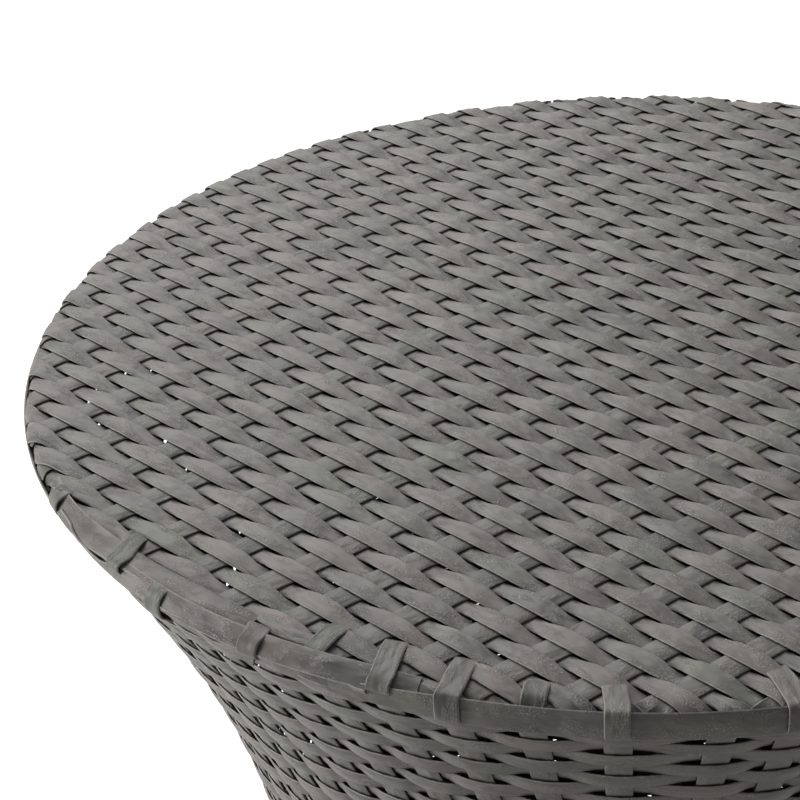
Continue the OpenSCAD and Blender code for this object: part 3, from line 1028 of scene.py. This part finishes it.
# %% Studio
FLOOR_GREY = (0.46, 0.46, 0.46, 1)
FLOOR_GLOW = 0.88
WORLD_LIGHT = 0.115
WORLD_SEEN = 1.0
# Inside this radius the floor loses its glow: a painted shadow under the table.
PAINTED_SHADOW_R = BASE_R - 0.035
GLOW_R = BASE_R - 0.010


def soft_light(name, place, target, size, power):
    """A square lamp at a place, turned towards a target, with its size in metres and power in watts."""
    data = bpy.data.lights.new(name, "AREA")
    data.shape = "SQUARE"
    data.size = size
    data.energy = power
    lamp = bpy.data.objects.new(name, data)
    lamp.location = place
    lamp.rotation_euler = (Vector(target) - Vector(place)).to_track_quat("-Z", "Y").to_euler()
    bpy.context.scene.collection.objects.link(lamp)


def seen_rays(tree):
    """1 for rays that the eye follows: straight, mirrored or through glass."""
    path = tree.nodes.new("ShaderNodeLightPath")
    total = path.outputs["Is Camera Ray"]
    for other in ("Is Glossy Ray", "Is Transmission Ray"):
        most = tree.nodes.new("ShaderNodeMath")
        most.operation = "MAXIMUM"
        tree.links.new(total, most.inputs[0])
        tree.links.new(path.outputs[other], most.inputs[1])
        total = most.outputs[0]
    return total


shape = bmesh.new()
bmesh.ops.create_grid(shape, x_segments=8, y_segments=8, size=4)
floor_mesh = bpy.data.meshes.new("floor")
shape.to_mesh(floor_mesh)
shape.free()
floor = bpy.data.objects.new("floor", floor_mesh)
bpy.context.scene.collection.objects.link(floor)
floor_paint = bpy.data.materials.new("pale_floor")
floor_paint.use_nodes = True
tree = floor_paint.node_tree
tree.nodes["Principled BSDF"].inputs["Base Color"].default_value = FLOOR_GREY
tree.nodes["Principled BSDF"].inputs["Roughness"].default_value = 0.9
glow = tree.nodes.new("ShaderNodeEmission")
glow.inputs["Strength"].default_value = FLOOR_GLOW
both = tree.nodes.new("ShaderNodeAddShader")
pick = tree.nodes.new("ShaderNodeMixShader")
tree.links.new(tree.nodes["Principled BSDF"].outputs[0], both.inputs[0])
tree.links.new(glow.outputs[0], both.inputs[1])
place = tree.nodes.new("ShaderNodeTexCoord")
from_axis = tree.nodes.new("ShaderNodeVectorMath")
from_axis.operation = "LENGTH"
# The glow fades out towards the axis, which paints a shadow under the table.
beyond_painted_shadow = tree.nodes.new("ShaderNodeMapRange")
beyond_painted_shadow.inputs[1].default_value = PAINTED_SHADOW_R
beyond_painted_shadow.inputs[2].default_value = GLOW_R
glowing = tree.nodes.new("ShaderNodeMath")
glowing.operation = "MULTIPLY"
tree.links.new(place.outputs["Object"], from_axis.inputs[0])
tree.links.new(from_axis.outputs["Value"], beyond_painted_shadow.inputs[0])
tree.links.new(beyond_painted_shadow.outputs[0], glowing.inputs[0])
tree.links.new(seen_rays(tree), glowing.inputs[1])
tree.links.new(glowing.outputs[0], pick.inputs[0])
tree.links.new(tree.nodes["Principled BSDF"].outputs[0], pick.inputs[1])
tree.links.new(both.outputs[0], pick.inputs[2])
tree.links.new(pick.outputs[0], tree.nodes["Material Output"].inputs[0])
floor.data.materials.append(floor_paint)

world = bpy.data.worlds.new("studio")
bpy.context.scene.world = world
world.use_nodes = True
tree = world.node_tree
sky = tree.nodes["Background"]
sky.inputs["Color"].default_value = (1, 1, 1, 1)
strength = tree.nodes.new("ShaderNodeMapRange")
strength.inputs[3].default_value = WORLD_LIGHT
strength.inputs[4].default_value = WORLD_SEEN
tree.links.new(seen_rays(tree), strength.inputs[0])
tree.links.new(strength.outputs[0], sky.inputs["Strength"])
soft_light("key_light", (-0.7, 1.75, 2.1), (0, 0, 0.5), 1.6, 47)
soft_light("left_light", (-2.0, -0.3, 0.95), (0, 0, 0.45), 1.0, 38)
print("studio lit")
